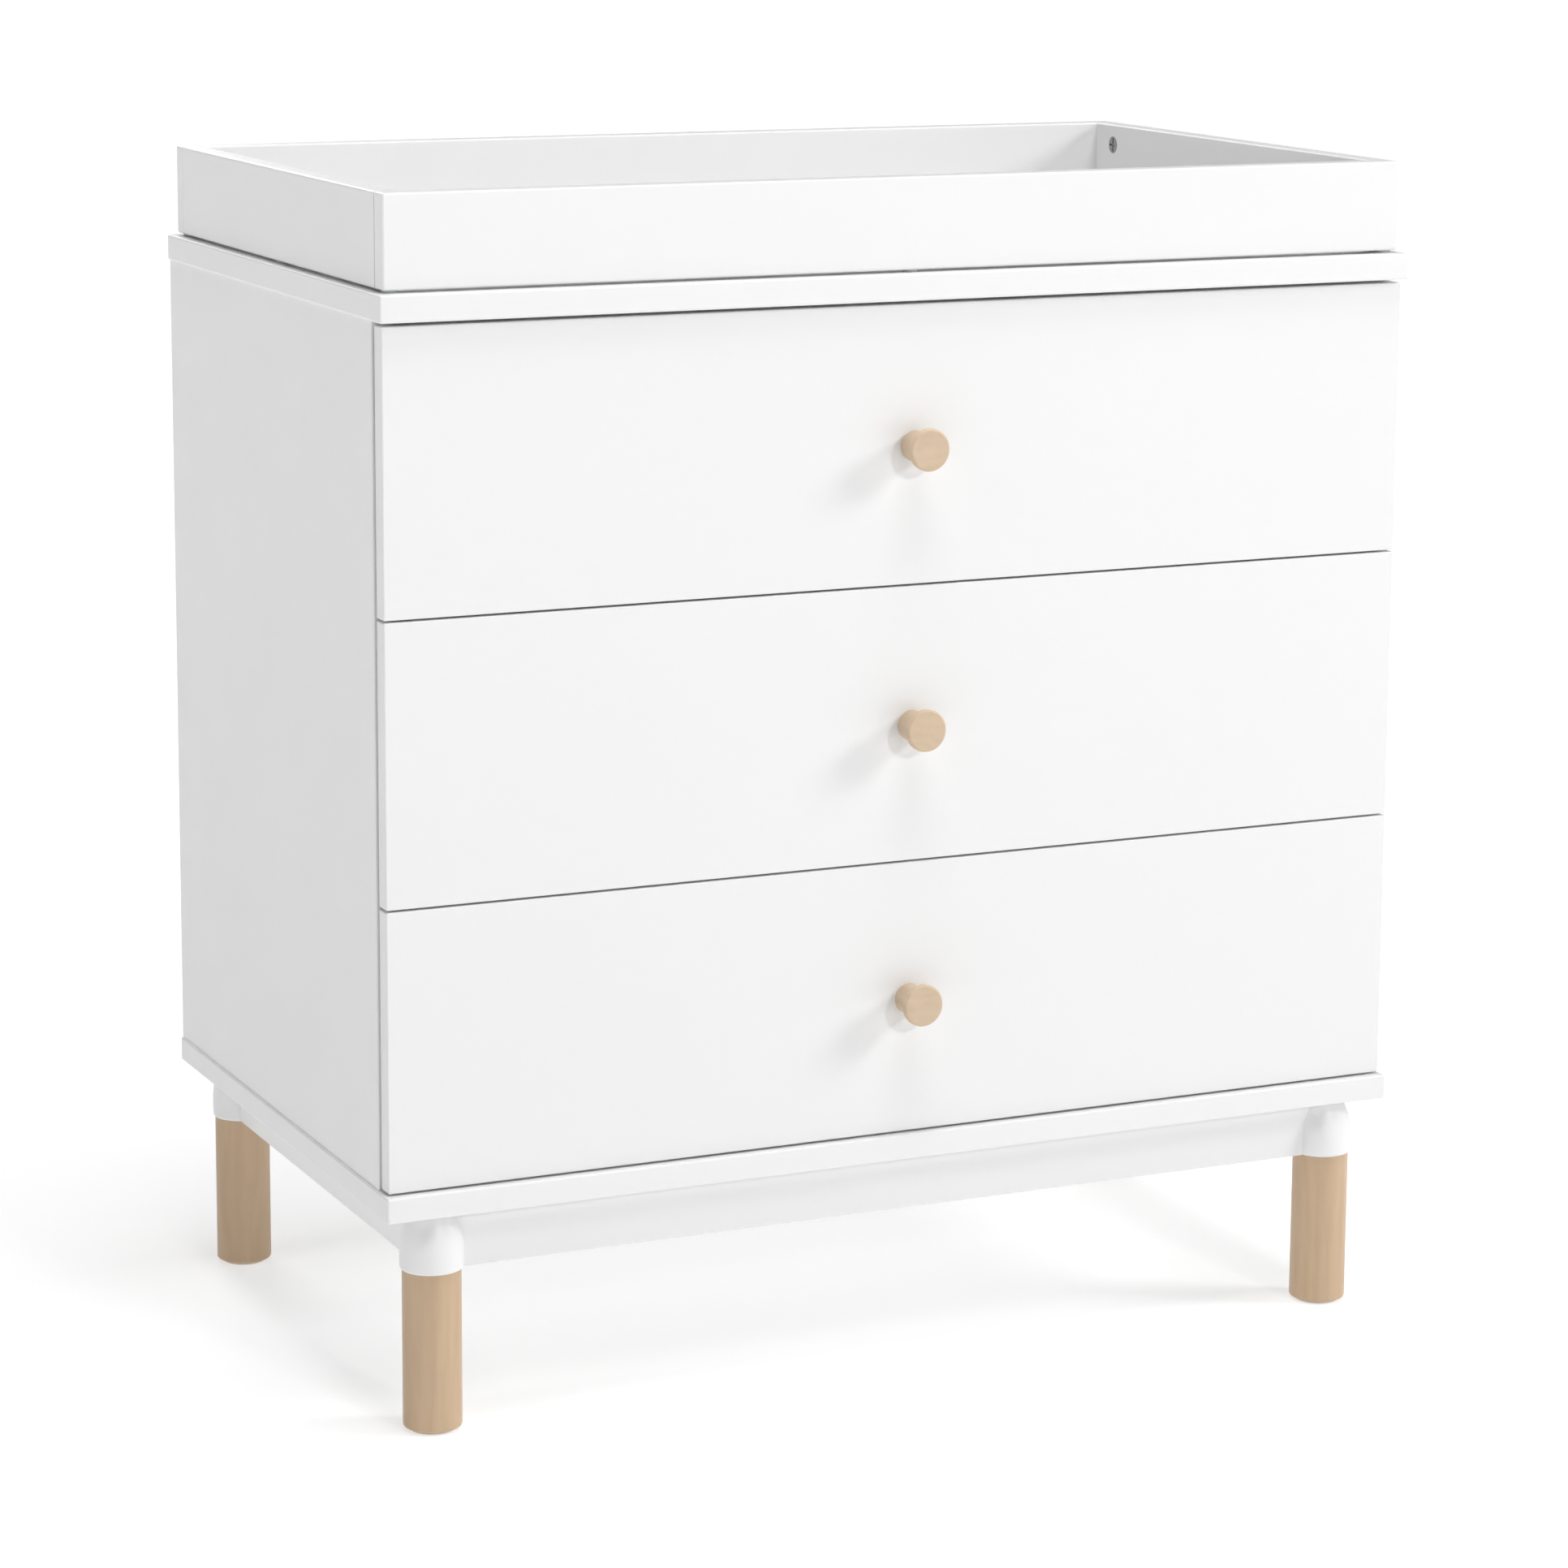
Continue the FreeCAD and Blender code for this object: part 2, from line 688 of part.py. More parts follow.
# ---------------------------------------------------------------- anti-tip brackets
def anti_tip_bracket(x):
    """Stepped plate on the back panel: the raised tab holds the hole for a wall strap."""
    x0 = x - anti_tip_width / 2.0
    x1 = x + anti_tip_width / 2.0
    middle = top_underside - anti_tip_drop
    raised_y = rear_edge + anti_tip_rise
    plate = block(x0, x1, rear_edge, rear_edge + anti_tip_sheet, middle, middle + anti_tip_plate)
    web = block(x0, x1, rear_edge, raised_y + anti_tip_sheet, middle, middle + anti_tip_sheet)
    tab = block(x0, x1, raised_y, raised_y + anti_tip_sheet, middle - anti_tip_tab, middle + anti_tip_sheet)
    hole = rod(
        (x, raised_y - 1, middle - anti_tip_tab / 2.0), (0, 1, 0), anti_tip_hole_radius, anti_tip_sheet + 2
    )
    return plate.fuse([web, tab]).removeSplitter().cut(hole)


nodes["anti_tip_brackets"] = group([anti_tip_bracket(-anti_tip_x), anti_tip_bracket(anti_tip_x)])

# ---------------------------------------------------------------- write the pieces
os.makedirs("parts", exist_ok=True)
for node, shape in nodes.items():
    shape.exportStep("parts/" + node + ".step")
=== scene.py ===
"""Looks of the changing table: finishes for its CAD pieces, small fittings, floor, light and camera.

Metres, +Z up, in the CAD model's own frame: the front faces -Y and +X is the viewer's right.
"""

import json
import math

import bmesh
import bpy
from mathutils import Matrix, Vector


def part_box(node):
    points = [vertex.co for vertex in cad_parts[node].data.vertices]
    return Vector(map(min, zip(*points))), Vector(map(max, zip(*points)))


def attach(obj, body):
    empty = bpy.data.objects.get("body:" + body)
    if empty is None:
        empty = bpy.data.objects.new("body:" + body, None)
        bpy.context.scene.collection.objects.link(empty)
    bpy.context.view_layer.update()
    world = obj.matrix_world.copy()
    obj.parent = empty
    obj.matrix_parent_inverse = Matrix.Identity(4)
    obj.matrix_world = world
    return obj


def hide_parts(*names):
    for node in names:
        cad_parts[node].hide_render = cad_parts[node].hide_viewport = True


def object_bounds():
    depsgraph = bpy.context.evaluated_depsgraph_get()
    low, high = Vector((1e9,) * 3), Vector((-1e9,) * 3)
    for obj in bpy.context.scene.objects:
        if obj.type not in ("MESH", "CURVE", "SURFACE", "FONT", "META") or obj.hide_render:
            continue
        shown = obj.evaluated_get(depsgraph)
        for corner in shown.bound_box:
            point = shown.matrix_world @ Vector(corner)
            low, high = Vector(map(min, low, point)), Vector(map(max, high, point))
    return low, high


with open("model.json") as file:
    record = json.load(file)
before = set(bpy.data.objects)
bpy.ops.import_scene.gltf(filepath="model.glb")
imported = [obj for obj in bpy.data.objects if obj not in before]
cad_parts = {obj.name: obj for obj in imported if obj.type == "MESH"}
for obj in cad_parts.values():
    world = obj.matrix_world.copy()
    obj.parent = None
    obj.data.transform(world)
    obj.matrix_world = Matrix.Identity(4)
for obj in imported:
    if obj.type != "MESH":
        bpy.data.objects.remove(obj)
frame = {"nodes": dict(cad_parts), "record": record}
cad_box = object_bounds()
nodes = frame["nodes"]

MM = 0.001
DRAWERS = ("upper", "middle", "lower")
BOX_WALL = 12.0 * MM          # drawer box boards

# each board of a drawer box: face grain along, thickness along, number of plies
DRAWER_BOARDS = (
    ("sides", "Y", "X", 7),
    ("back", "X", "Y", 7),
    ("bottom", "X", "Z", 3),
)

# ---------------------------------------------------------------- camera and light settings
CAMERA_PLACE = (-1.6057, -3.4770, 1.2479)
CAMERA_YAW = 24.81            # degrees to the right of +Y
CAMERA_PITCH = 10.20          # degrees down
CAMERA_ROLL = 0.37
CAMERA_SENSOR = 36.0          # mm
CAMERA_LENS = 107.7           # mm
CAMERA_SHIFT = -0.0963        # the view reaches lower than the lens axis

# name, azimuth and elevation in degrees, size in metres, watts
LIGHTS = (
    ("side_key", 62.0, 28.0, 1.6, 186.0),
    ("front_light", 8.0, 20.0, 0.5, 76.0),
    ("top_light", 0.0, 80.0, 3.0, 285.0),
    ("left_light", -80.0, 30.0, 3.0, 58.0),
    ("rear_light", 180.0, 28.0, 3.0, 110.0),
)
LIGHT_DISTANCE = 6.5
WORLD_LIGHT = 0.04            # overhead
HORIZON_LIGHT = 1.00          # in a low band round the horizon
HORIZON_BAND = (0.05, 0.15)   # sine of the elevation where the band fades out
FLOOR_SIZE = 60.0
FLOOR_COLOUR = (0.55, 0.55, 0.55, 1.0)
FLOOR_GLOW = (0.56, 1.00)     # near the object and far off
FLOOR_GLOW_REACH = (1.5, 9.0)  # distances of the two, in metres

# colours, linear
WHITE = (0.80, 0.80, 0.80)
BACK_WHITE = (0.76, 0.76, 0.75)
WOOD_PALE = (0.58, 0.42, 0.28)
WOOD_DEEP = (0.50, 0.355, 0.225)
KNOB_PALE = (0.62, 0.48, 0.345)
KNOB_DEEP = (0.55, 0.42, 0.29)
WOOD_PORE = (0.40, 0.27, 0.16)
PLY_PALE = (0.70, 0.56, 0.39)
PLY_DEEP = (0.60, 0.45, 0.29)
PLY_CROSS = (0.42, 0.29, 0.17)
ROLLED_ZINC = (0.60, 0.61, 0.63)
CAST_ZINC = (0.42, 0.42, 0.41)
PLATED_STEEL = (0.66, 0.66, 0.65)
CLEAR_RUBBER = (0.80, 0.81, 0.81)
NYLON = (0.62, 0.60, 0.55)


# ---------------------------------------------------------------- finishes
class Finish:
    """A node material in the making. Its patterns follow the object's coordinates and move with it."""

    def __init__(self, name, roughness=0.5, metallic=0.0):
        self.material = bpy.data.materials.new(name)
        self.material.use_nodes = True
        self.tree = self.material.node_tree
        self.tree.nodes.clear()
        self.shader = self.add("ShaderNodeBsdfPrincipled", {"Roughness": roughness, "Metallic": metallic})
        self.add("ShaderNodeOutputMaterial", {"Surface": self.shader.outputs["BSDF"]})
        self.place = self.add("ShaderNodeTexCoord").outputs["Object"]

    def add(self, kind, inputs=None, **settings):
        """A node with its settings, and its inputs set or linked."""
        node = self.tree.nodes.new(kind)
        for key, value in settings.items():
            setattr(node, key, value)
        for key, value in (inputs or {}).items():
            if isinstance(value, bpy.types.NodeSocket):
                self.tree.links.new(value, node.inputs[key])
            else:
                node.inputs[key].default_value = value
        return node

    def set(self, **inputs):
        """Shader inputs, set or linked: specular_ior_level stands for Specular IOR Level, and so on."""
        names = {s.name.lower().replace(" ", "_"): s for s in self.shader.inputs}
        for key, value in inputs.items():
            if isinstance(value, bpy.types.NodeSocket):
                self.tree.links.new(value, names[key])
            else:
                names[key].default_value = value
        return self

    def stretched(self, *factors):
        """The object's coordinates, scaled along X, Y and Z."""
        node = self.add("ShaderNodeVectorMath", {0: self.place, 1: factors}, operation="MULTIPLY")
        return node.outputs[0]

    def noise(self, scale, detail=2.0, place=None, distortion=0.0):
        inputs = {"Vector": place or self.place, "Scale": scale, "Detail": detail, "Distortion": distortion}
        return self.add("ShaderNodeTexNoise", inputs).outputs["Fac"]

    def spread(self, value, low, high, low_out=0.0, high_out=1.0):
        """The value's range between low and high, stretched to another range."""
        inputs = {"Value": value, "From Min": low, "From Max": high, "To Min": low_out, "To Max": high_out}
        return self.add("ShaderNodeMapRange", inputs).outputs["Result"]

    def mix(self, factor, first, second):
        """Colour between two, by a factor."""
        node = self.add("ShaderNodeMix", data_type="RGBA")
        self.tree.links.new(factor, node.inputs["Factor"])
        for socket, colour in ((node.inputs[6], first), (node.inputs[7], second)):
            if isinstance(colour, bpy.types.NodeSocket):
                self.tree.links.new(colour, socket)
            else:
                socket.default_value = (*colour, 1.0)
        return node.outputs[2]

    def maths(self, operation, first, second):
        return self.add("ShaderNodeMath", {0: first, 1: second}, operation=operation).outputs[0]

    def bump(self, height, depth, strength=1.0):
        """Surface relief: depth in metres between the height's 0 and 1."""
        inputs = {"Height": height, "Distance": depth, "Strength": strength}
        return self.set(normal=self.add("ShaderNodeBump", inputs).outputs["Normal"])


def tint(colour, factor):
    return tuple(c * factor for c in colour)


def lacquer(name="white_lacquer", colour=WHITE, roughness=0.36, peel=0.010):
    """Sprayed satin lacquer on board: faint orange peel, a slow drift in tone and gloss."""
    f = Finish(name, roughness)
    drift = f.noise(4.0, 3.0)
    f.set(base_color=f.mix(drift, tint(colour, 0.985), colour))
    f.set(roughness=f.spread(f.noise(22.0, 4.0), 0.3, 0.7, roughness - 0.04, roughness + 0.05))
    f.set(specular_ior_level=0.45, coat_weight=0.12, coat_roughness=0.25)
    return f.bump(f.noise(420.0, 2.0), peel * MM).material


def hardboard():
    """Painted hardboard: a matt film over pressed fibre."""
    f = Finish("back_board", 0.62)
    fibre = f.noise(260.0, 5.0, f.stretched(1.0, 1.0, 0.7), 0.6)
    f.set(base_color=f.mix(fibre, tint(BACK_WHITE, 0.96), BACK_WHITE))
    f.set(roughness=f.spread(fibre, 0.2, 0.8, 0.56, 0.68), specular_ior_level=0.35)
    return f.bump(fibre, 0.06 * MM).material


def along(axis, value, other=1.0):
    """Three factors: one value on the named axis, another on the rest."""
    return [value if a == axis else other for a in "XYZ"]


def solid_wood(name, axis, pale=WOOD_PALE, deep=WOOD_DEEP):
    """Pale close-grained hardwood with a clear satin finish, its grain along one axis."""
    f = Finish(name, 0.45)
    band = f.noise(48.0, 3.0, f.stretched(*along(axis, 0.14)), 0.9)
    fibre = f.noise(800.0, 3.0, f.stretched(*along(axis, 0.03)))
    rings = f.add(
        "ShaderNodeTexWave",
        {
            "Vector": f.stretched(*along(axis, 0.18)),
            "Scale": 30.0,
            "Distortion": 12.0,
            "Detail": 3.0,
            "Detail Scale": 0.8,
        },
        wave_type="RINGS",
        rings_direction=axis,
        wave_profile="SIN",
    ).outputs["Fac"]
    fleck = f.noise(1900.0, 1.0, f.stretched(*along(axis, 0.11)))
    pores = f.spread(fleck, 0.68, 0.76)
    tone = f.maths("ADD", f.maths("MULTIPLY", band, 0.90), f.maths("MULTIPLY", rings, 0.16))
    tone = f.maths("ADD", tone, f.maths("MULTIPLY", fibre, 0.22))
    colour = f.mix(f.spread(tone, 0.38, 0.92), deep, pale)
    f.set(base_color=f.mix(f.maths("MULTIPLY", pores, 0.35), colour, WOOD_PORE))
    f.set(roughness=f.spread(fibre, 0.3, 0.7, 0.40, 0.52), specular_ior_level=0.4)
    relief = f.maths("SUBTRACT", fibre, f.maths("MULTIPLY", pores, 0.8))
    return f.bump(relief, 0.03 * MM).material


def plywood(name, grain, thickness_axis, node, plies):
    """Plywood: face grain along one axis, and its plies in bands across the thickness on the edges."""
    f = Finish(name, 0.55)
    low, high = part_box(node)
    across = "XYZ".index(thickness_axis)
    wall = min(high[across] - low[across], BOX_WALL)
    place = f.add("ShaderNodeSeparateXYZ", {"Vector": f.place}).outputs[across]
    depth = f.maths("SUBTRACT", f.maths("ABSOLUTE", place, 0.0), abs(high[across]))
    odd = f.maths("PINGPONG", f.maths("MULTIPLY", depth, plies / wall), 1.0)
    cross = f.spread(odd, 0.42, 0.58)
    grain_noise = f.noise(70.0, 4.0, f.stretched(*along(grain, 0.05)), 1.2)
    fibre = f.noise(700.0, 3.0, f.stretched(*along(grain, 0.03)))
    face = f.mix(f.spread(grain_noise, 0.3, 0.7), PLY_DEEP, PLY_PALE)
    face = f.mix(f.maths("MULTIPLY", fibre, 0.25), face, PLY_CROSS)
    f.set(base_color=f.mix(f.maths("MULTIPLY", cross, 0.55), face, PLY_CROSS))
    f.set(roughness=f.spread(fibre, 0.3, 0.7, 0.50, 0.64), specular_ior_level=0.35)
    return f.bump(f.maths("SUBTRACT", fibre, cross), 0.04 * MM).material


def rolled_steel():
    """Zinc-plated rolled strip: fine streaks along the run, a cloudy bright film."""
    f = Finish("slide_steel", 0.32, 1.0)
    streak = f.noise(1500.0, 2.0, f.stretched(1.0, 0.02, 1.0))
    cloud = f.noise(60.0, 3.0)
    f.set(base_color=f.mix(cloud, tint(ROLLED_ZINC, 0.90), ROLLED_ZINC))
    f.set(roughness=f.spread(streak, 0.3, 0.7, 0.26, 0.40))
    return f.bump(streak, 0.008 * MM).material


def cast_zinc():
    """Die-cast zinc: dull, with a fine grainy skin."""
    f = Finish("cam_zinc", 0.48, 1.0)
    skin = f.noise(1600.0, 3.0)
    f.set(base_color=f.mix(skin, tint(CAST_ZINC, 0.80), CAST_ZINC))
    f.set(roughness=f.spread(skin, 0.3, 0.7, 0.42, 0.58))
    return f.bump(skin, 0.03 * MM).material


def plated_steel():
    """Bright zinc plate on pressed or turned steel."""
    f = Finish("zinc_steel", 0.30, 1.0)
    cloud = f.noise(180.0, 3.0)
    f.set(base_color=f.mix(cloud, tint(PLATED_STEEL, 0.88), PLATED_STEEL))
    f.set(roughness=f.spread(f.noise(700.0, 2.0), 0.3, 0.7, 0.24, 0.36))
    return f.bump(f.noise(1200.0, 2.0), 0.006 * MM).material


def clear_rubber():
    """Milky translucent bumper rubber."""
    f = Finish("clear_rubber", 0.42)
    haze = f.noise(300.0, 2.0)
    f.set(base_color=f.mix(haze, tint(CLEAR_RUBBER, 0.94), CLEAR_RUBBER))
    f.set(transmission_weight=0.45, ior=1.45, subsurface_weight=0.2, subsurface_scale=0.004)
    return f.bump(haze, 0.01 * MM).material


def nylon():
    """Moulded nylon, off-white, with a fine spark-eroded grain."""
    f = Finish("glide_nylon", 0.55)
    grain = f.noise(1400.0, 2.0)
    f.set(base_color=f.mix(grain, tint(NYLON, 0.93), NYLON))
    f.set(subsurface_weight=0.1, subsurface_scale=0.002)
    return f.bump(grain, 0.02 * MM).material


def coat(node, material):
    """One material over a CAD node."""
    data = nodes[node].data
    data.materials.clear()
    data.materials.append(material)


def finish_cad_nodes():
    """Each CAD node takes the finish of its slot; knobs and drawer boards have their own grain."""
    finishes = {
        "white_lacquer": lacquer(),
        "back_board": hardboard(),
        "natural_wood": solid_wood("leg_wood", "Z"),
        "slide_steel": rolled_steel(),
        "cam_zinc": cast_zinc(),
        "zinc_steel": plated_steel(),
        "clear_rubber": clear_rubber(),
        "glide_nylon": nylon(),
    }
    knob_wood = solid_wood("knob_wood", "Y", KNOB_PALE, KNOB_DEEP)
    slots = {s["node"]: s["material_slot"] for s in frame["record"]["subparts"]}
    for node, slot in slots.items():
        if slot in finishes:
            coat(node, finishes[slot])
    for drawer in DRAWERS:
        coat(drawer + "_knob", knob_wood)
        for board, grain, thickness, plies in DRAWER_BOARDS:
            node = f"{drawer}_drawer_{board}"
            coat(node, plywood(node + "_ply", grain, thickness, node, plies))
    return finishes


finishes = finish_cad_nodes()


# ---------------------------------------------------------------- screws and small fittings
SCREW_SHANK = 1.9 * MM         # radius
SCREW_TIP = 3.5 * MM
SMOOTH_ANGLE = math.radians(32.0)

# head heights
TRAY_BRACKET_HEAD = 2.4 * MM
HOOK_HEAD = 2.6 * MM           # meets the plate of the tray bracket
KNOB_HEAD = 2.4 * MM

SMALL_SCREW = {"head_radius": 3.4 * MM, "head_height": 1.9 * MM, "length": 14.0 * MM}
SLIDE_SCREW = {"head_radius": 3.2 * MM, "head_height": 1.5 * MM, "length": 8.0 * MM}

ANTI_TIP_SHEET = 2.0 * MM
ANTI_TIP_SCREW_SIDE = 6.5 * MM    # from the bracket's middle
ANTI_TIP_SCREW_DROP = 10.0 * MM   # below its upper end

# a corner block's screws, in half sizes of the block from its middle towards the outer corner
BLOCK_SCREW_SHARES = ((0.55, -0.05), (-0.05, 0.55))

NAILS_PER_SIDE = 7
NAILS_ALONG_TOP = 7
NAIL_END_INSET = 22.0 * MM     # from the panel's lower and upper ends
NAIL_SIDE_INSET = 4.5 * MM
NAIL_TOP_INSET = 9.0 * MM
NAIL_TOP_MARGIN = 110.0 * MM   # from the panel's sides, along its top

BUMPER_INSET = 18.0 * MM       # from a drawer front's lower and upper edges
BUMPER_SHIFT = 1.5 * MM        # inwards from the middle of the side panel's edge

SLIDE_SHEET = 1.2 * MM
SLIDE_SCREW_SHARES = (0.09, 0.42, 0.80)    # along the slide's length

# outlines of turned fittings, in mm: radius and height above the surface they sit on
NAIL_OUTLINE = [(0.0, -9.0), (0.7, -8.0), (0.7, 0.0), (2.1, 0.0), (2.1, 0.15), (1.7, 0.4), (0.0, 0.45)]
BUMPER_OUTLINE = [(0.0, 0.0), (4.0, 0.0), (4.0, 0.5), (3.6, 1.15), (2.6, 1.5), (0.0, 1.6)]

# turns that point a fitting's head, which starts upwards, to one side
HEAD_TURNS = {
    "+Y": Matrix.Rotation(math.radians(-90.0), 4, "X"),
    "-Z": Matrix.Rotation(math.radians(180.0), 4, "X"),
    "+X": Matrix.Rotation(math.radians(90.0), 4, "Y"),
    "-X": Matrix.Rotation(math.radians(-90.0), 4, "Y"),
}


def solids(node):
    """Boxes round the separate solids of a CAD node, in order of their lowest corners."""
    mesh = bmesh.new()
    mesh.from_mesh(nodes[node].data)
    bmesh.ops.remove_doubles(mesh, verts=mesh.verts, dist=0.001 * MM)
    unseen = set(mesh.verts)
    boxes = []
    while unseen:
        reached = [unseen.pop()]
        for vert in reached:
            beside = {edge.other_vert(vert) for edge in vert.link_edges} & unseen
            unseen -= beside
            reached.extend(beside)
        low = Vector([min(v.co[a] for v in reached) for a in range(3)])
        high = Vector([max(v.co[a] for v in reached) for a in range(3)])
        boxes.append((low, high))
    mesh.free()
    return sorted(boxes, key=lambda box: tuple(round(c, 6) for c in box[0]))


def smoothed(mesh):
    """The mesh, smooth-shaded but for its sharp edges."""
    mesh.shade_smooth()
    mesh.set_sharp_from_angle(angle=SMOOTH_ANGLE)
    return mesh


def in_metres(outline):
    """An outline in mm, in metres."""
    return [(radius * MM, height * MM) for radius, height in outline]


def turned(name, outline, segments=32):
    """Mesh turned about +Z from (radius, height) pairs, bottom first; both ends lie on the axis."""
    verts, faces, rings = [], [], []
    for radius, height in outline:
        count = segments if radius > 0.0 else 1
        ring = range(len(verts), len(verts) + count)
        angles = [2.0 * math.pi * i / segments for i in range(count)]
        verts += [(radius * math.cos(a), radius * math.sin(a), height) for a in angles]
        rings.append(ring)
    for lower, upper in zip(rings, rings[1:]):
        for i in range(segments):
            j = (i + 1) % segments
            below = [lower[i % len(lower)], lower[j % len(lower)]]
            above = [upper[j % len(upper)], upper[i % len(upper)]]
            faces.append(list(dict.fromkeys(below + above)))
    mesh = bpy.data.meshes.new(name)
    mesh.from_pydata(verts, [], faces)
    return mesh


def cross_cutter(reach, half, top, bottom):
    """Tapered cross that leaves a cross recess in a screw head."""
    arm = [(half, -half), (reach, -half), (reach, half)]
    outline = []
    for _ in range(4):
        outline += arm
        arm = [(-y, x) for x, y in arm]
    count = len(outline)
    verts = [(0.55 * x, 0.55 * y, bottom) for x, y in outline] + [(x, y, top) for x, y in outline]
    faces = [(i, (i + 1) % count, (i + 1) % count + count, i + count) for i in range(count)]
    faces += [tuple(reversed(range(count))), tuple(range(count, 2 * count))]
    mesh = bpy.data.meshes.new("recess")
    mesh.from_pydata(verts, [], faces)
    return mesh


def pan_screw(name, head_radius, head_height, length):
    """Pan-head screw with a cross recess: its head stands on Z = 0 and its shank reaches down."""
    rim = 0.30 * head_height
    rounds = [math.radians(a) for a in range(0, 90, 12)]
    crown = head_height - rim
    dome = [(head_radius * math.cos(a) ** 0.6, rim + crown * math.sin(a) ** 0.9) for a in rounds]
    shank = min(SCREW_SHANK, 0.5 * head_radius)
    tip = min(SCREW_TIP, length / 2.0)
    outline = [(0.0, -length), (0.25 * shank, -length + 0.4 * MM), (shank, -length + tip)]
    outline += [(shank, 0.0), (head_radius, 0.0)] + dome + [(0.0, head_height)]
    plain = bpy.data.objects.new("plain_screw", turned(name + "_blank", outline))
    recess_floor = head_height * 0.35
    cutter_mesh = cross_cutter(0.55 * head_radius, 0.13 * head_radius, head_height + 1.0 * MM, recess_floor)
    cutter = bpy.data.objects.new("cutter", cutter_mesh)
    for obj in (plain, cutter):
        bpy.context.scene.collection.objects.link(obj)
    recess = plain.modifiers.new("recess", "BOOLEAN")
    recess.operation = "DIFFERENCE"
    recess.solver = "EXACT"
    recess.object = cutter
    bpy.context.view_layer.update()
    depsgraph = bpy.context.evaluated_depsgraph_get()
    mesh = bpy.data.meshes.new_from_object(plain.evaluated_get(depsgraph))
    mesh.name = name
    for obj in (plain, cutter):
        bpy.data.objects.remove(obj)
    return smoothed(mesh)


def fitting(name, body, slot, mesh, places, replaced=()):
    """One piece with a copy of a mesh at each place (a matrix), riding on a body."""
    joined = bmesh.new()
    for place in places:
        kept = len(joined.verts)
        joined.from_mesh(mesh)
        joined.verts.ensure_lookup_table()
        bmesh.ops.transform(joined, matrix=place, verts=joined.verts[kept:])
    data = bpy.data.meshes.new(name)
    joined.to_mesh(data)
    joined.free()
    data.materials.append(finishes[slot])
    piece = bpy.data.objects.new(name, data)
    bpy.context.scene.collection.objects.link(piece)
    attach(piece, body)
    if replaced:
        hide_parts(*replaced)


def aimed(place, side, spin=0.0):
    """Matrix that stands a fitting at a place with its head towards one side, turned about its axis."""
    return Matrix.Translation(place) @ HEAD_TURNS[side] @ Matrix.Rotation(spin, 4, "Z")


def rear_screws(node, body, head_height):
    """Detailed screws in place of a CAD node's, heads to the rear."""
    places = []
    for index, (low, high) in enumerate(solids(node)):
        seat = Vector(((low.x + high.x) / 2.0, high.y - head_height, (low.z + high.z) / 2.0))
        places.append(aimed(seat, "+Y", 0.35 + 0.9 * index))
    low, high = solids(node)[0]
    length = high.y - low.y - head_height
    mesh = pan_screw(node + "_pattern", (high.z - low.z) / 2.0, head_height, length)
    fitting(node + "_cross_head", body, "zinc_steel", mesh, places, [node])


def anti_tip_screws(mesh):
    """Two screws in the flat half of each anti-tip bracket."""
    seats = []
    for low, high in solids("anti_tip_brackets"):
        middle = (low.x + high.x) / 2.0
        for side in (-1.0, 1.0):
            across = middle + side * ANTI_TIP_SCREW_SIDE
            seats.append(Vector((across, low.y + ANTI_TIP_SHEET, high.z - ANTI_TIP_SCREW_DROP)))
    places = [aimed(seat, "+Y", 0.5 + 1.1 * i) for i, seat in enumerate(seats)]
    fitting("anti_tip_screws", "cabinet", "zinc_steel", mesh, places)


def block_screws(mesh):
    """Two screws from below in each three-sided corner block, near its square corner."""
    seats = []
    for low, high in solids("corner_blocks"):
        middle = (low + high) / 2.0
        half = (high.x - low.x) / 2.0
        for along_x, along_y in BLOCK_SCREW_SHARES:
            x = middle.x + math.copysign(half, middle.x) * along_x
            y = middle.y + math.copysign(half, middle.y) * along_y
            seats.append(Vector((x, y, low.z)))
    places = [aimed(seat, "-Z", 0.2 + 0.7 * i) for i, seat in enumerate(seats)]
    fitting("corner_block_screws", "cabinet", "zinc_steel", mesh, places)


def panel_nails():
    """Nails down both sides of the back panel and along its top."""
    nail = smoothed(turned("nail", in_metres(NAIL_OUTLINE), 16))
    low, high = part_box("back_panel")
    row_height = high.z - low.z - 2.0 * NAIL_END_INSET
    seats = []
    for i in range(NAILS_PER_SIDE):
        height = low.z + NAIL_END_INSET + row_height * i / (NAILS_PER_SIDE - 1)
        seats += [Vector((side * (high.x - NAIL_SIDE_INSET), high.y, height)) for side in (-1.0, 1.0)]
    for i in range(NAILS_ALONG_TOP):
        across = (high.x - NAIL_TOP_MARGIN) * (2.0 * i / (NAILS_ALONG_TOP - 1) - 1.0)
        seats.append(Vector((across, high.y, high.z - NAIL_TOP_INSET)))
    fitting("back_panel_nails", "cabinet", "zinc_steel", nail, [aimed(seat, "+Y") for seat in seats])


def front_bumpers(drawer, mesh):
    """Four soft bumpers on the rear of a drawer front, where it meets the side panels."""
    side_low, side_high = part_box("right_side_panel")
    edge = (side_low.x + side_high.x) / 2.0 - BUMPER_SHIFT
    low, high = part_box(drawer + "_drawer_front")
    places = []
    for side in (-1.0, 1.0):
        for height in (low.z + BUMPER_INSET, high.z - BUMPER_INSET):
            places.append(aimed((side * edge, high.y, height), "+Y"))
    fitting(drawer + "_bumpers", drawer + "_drawer", "clear_rubber", mesh, places)


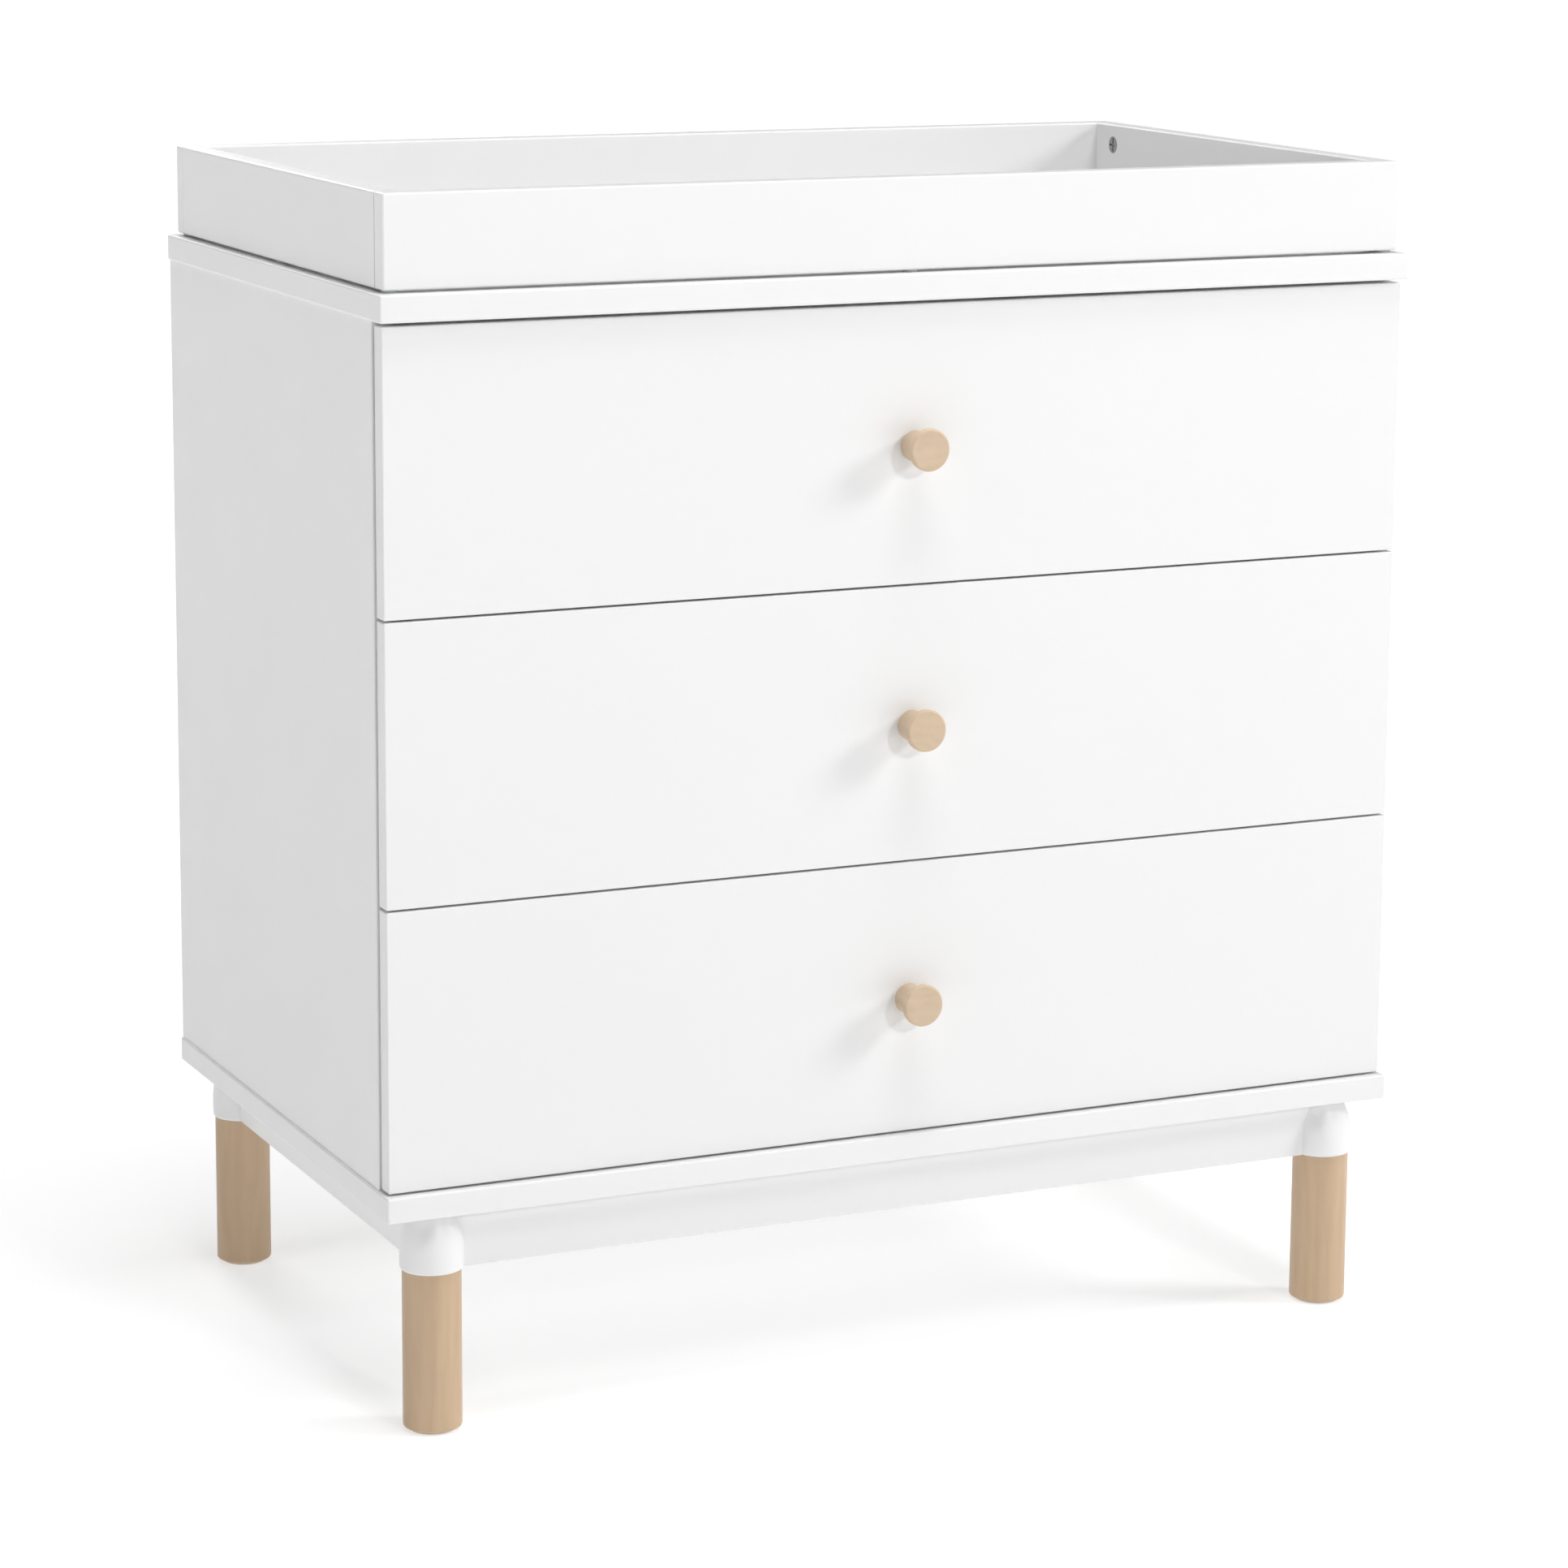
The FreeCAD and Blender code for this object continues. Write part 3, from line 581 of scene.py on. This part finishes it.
def slide_screws(drawer, mesh):
    """Three screws in the web of each inner slide member."""
    low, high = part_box(drawer + "_inner_slides")
    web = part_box(drawer + "_drawer_sides")[1].x + SLIDE_SHEET
    places = []
    for side, head in ((-1.0, "-X"), (1.0, "+X")):
        for i, share in enumerate(SLIDE_SCREW_SHARES):
            place = (side * web, low.y + share * (high.y - low.y), (low.z + high.z) / 2.0)
            places.append(aimed(place, head, 0.4 + 0.8 * i))
    fitting(drawer + "_slide_screws", drawer + "_drawer", "zinc_steel", mesh, places)


def add_fittings():
    """Detailed screws in place of plain ones, and the small fittings that the CAD model leaves out."""
    rear_screws("tray_bracket_screws", "tray", TRAY_BRACKET_HEAD)
    rear_screws("tray_hook_screws", "cabinet", HOOK_HEAD)
    small = pan_screw("small_screw", **SMALL_SCREW)
    anti_tip_screws(small)
    block_screws(small)
    panel_nails()
    slide_screw = pan_screw("slide_screw", **SLIDE_SCREW)
    bumper = smoothed(turned("bumper", in_metres(BUMPER_OUTLINE), 24))
    for drawer in DRAWERS:
        rear_screws(drawer + "_knob_screw", drawer + "_drawer", KNOB_HEAD)
        front_bumpers(drawer, bumper)
        slide_screws(drawer, slide_screw)


# ---------------------------------------------------------------- eased edges
# radii in mm, of the cabinet's and the tray's nodes and of each drawer's
EASED_EDGES = {
    "anti_tip_brackets": 0.35,
    "back_panel": 0.4,
    "corner_blocks": 0.6,
    "drawer_dividers": 0.6,
    "top_rails": 0.6,
    "tray_brackets": 0.3,
    "outer_slides": 0.25,
}
EASED_DRAWER_EDGES = {
    "drawer_sides": 0.8,
    "drawer_back": 0.8,
    "drawer_bottom": 0.3,
    "inner_slides": 0.25,
    "middle_slides": 0.25,
}


def ease_edges():
    """A fine radius on the CAD boards and plates that come with sharp edges."""
    radii = dict(EASED_EDGES)
    for drawer in DRAWERS:
        for board, radius in EASED_DRAWER_EDGES.items():
            radii[f"{drawer}_{board}"] = radius
    for node, radius in radii.items():
        weld = nodes[node].modifiers.new("weld", "WELD")
        weld.merge_threshold = 0.001 * MM
        bevel = nodes[node].modifiers.new("eased_edges", "BEVEL")
        bevel.width = radius * MM
        bevel.segments = 2
        bevel.limit_method = "ANGLE"
        bevel.angle_limit = math.radians(35.0)
        bevel.harden_normals = True


add_fittings()
ease_edges()


# ---------------------------------------------------------------- stage
def direction(azimuth, elevation):
    """Unit vector towards a place round the object: azimuth 0 is in front, 90 on the right."""
    a, e = math.radians(azimuth), math.radians(elevation)
    return Vector((math.sin(a) * math.cos(e), -math.cos(a) * math.cos(e), math.sin(e)))


def softbox(name, azimuth, elevation, size, power):
    """Square area light that faces the middle of the object."""
    low, high = cad_box
    middle = (low + high) / 2.0
    data = bpy.data.lights.new(name, "AREA")
    data.shape = "SQUARE"
    data.size = size
    data.energy = power
    lamp = bpy.data.objects.new(name, data)
    lamp.location = middle + direction(azimuth, elevation) * LIGHT_DISTANCE
    lamp.rotation_euler = direction(azimuth, elevation).to_track_quat("Z", "Y").to_euler()
    bpy.context.scene.collection.objects.link(lamp)


def make_floor():
    """Plain pale floor that glows a little, so that shadows on it stay faint."""
    mesh = bpy.data.meshes.new("floor")
    half = FLOOR_SIZE / 2.0
    corners = [(-half, -half, 0), (half, -half, 0), (half, half, 0), (-half, half, 0)]
    mesh.from_pydata(corners, [], [(0, 1, 2, 3)])
    floor = bpy.data.objects.new("floor", mesh)
    bpy.context.scene.collection.objects.link(floor)
    f = Finish("floor_paint", 0.9)
    reach = f.add("ShaderNodeVectorMath", {0: f.place}, operation="LENGTH").outputs["Value"]
    glow = f.spread(reach, *FLOOR_GLOW_REACH, *FLOOR_GLOW)
    f.set(base_color=FLOOR_COLOUR, specular_ior_level=0.0)
    f.set(emission_color=(1.0, 1.0, 1.0, 1.0), emission_strength=glow)
    mesh.materials.append(f.material)


def make_world():
    """Dim overhead, pale round the horizon."""
    world = bpy.data.worlds.new("studio")
    world.use_nodes = True
    tree = world.node_tree
    towards = tree.nodes.new("ShaderNodeTexCoord")
    parts = tree.nodes.new("ShaderNodeSeparateXYZ")
    fade = tree.nodes.new("ShaderNodeMapRange")
    fade.inputs["From Min"].default_value, fade.inputs["From Max"].default_value = HORIZON_BAND
    fade.inputs["To Min"].default_value = HORIZON_LIGHT
    fade.inputs["To Max"].default_value = WORLD_LIGHT
    tree.links.new(towards.outputs["Generated"], parts.inputs["Vector"])
    tree.links.new(parts.outputs["Z"], fade.inputs["Value"])
    tree.links.new(fade.outputs["Result"], tree.nodes["Background"].inputs["Strength"])
    tree.nodes["Background"].inputs["Color"].default_value = (1.0, 1.0, 1.0, 1.0)
    bpy.context.scene.world = world


def make_camera():
    """Camera at the viewing angle, from its place and its yaw, pitch and roll."""
    yaw, pitch, roll = (math.radians(v) for v in (CAMERA_YAW, CAMERA_PITCH, CAMERA_ROLL))
    ahead = Vector((math.sin(yaw) * math.cos(pitch), math.cos(yaw) * math.cos(pitch), -math.sin(pitch)))
    level = Vector((math.cos(yaw), -math.sin(yaw), 0.0))
    upright = level.cross(ahead)
    right = level * math.cos(roll) + upright * math.sin(roll)
    up = upright * math.cos(roll) - level * math.sin(roll)
    data = bpy.data.cameras.new("camera")
    data.sensor_width = CAMERA_SENSOR
    data.lens = CAMERA_LENS
    data.shift_y = CAMERA_SHIFT
    camera = bpy.data.objects.new("camera", data)
    turn = Matrix((right, up, -ahead)).transposed().to_4x4()
    camera.matrix_world = Matrix.Translation(CAMERA_PLACE) @ turn
    bpy.context.scene.collection.objects.link(camera)
    bpy.context.scene.camera = camera


make_floor()
make_world()
make_camera()
for light in LIGHTS:
    softbox(*light)
bpy.context.scene.view_settings.view_transform = "Standard"
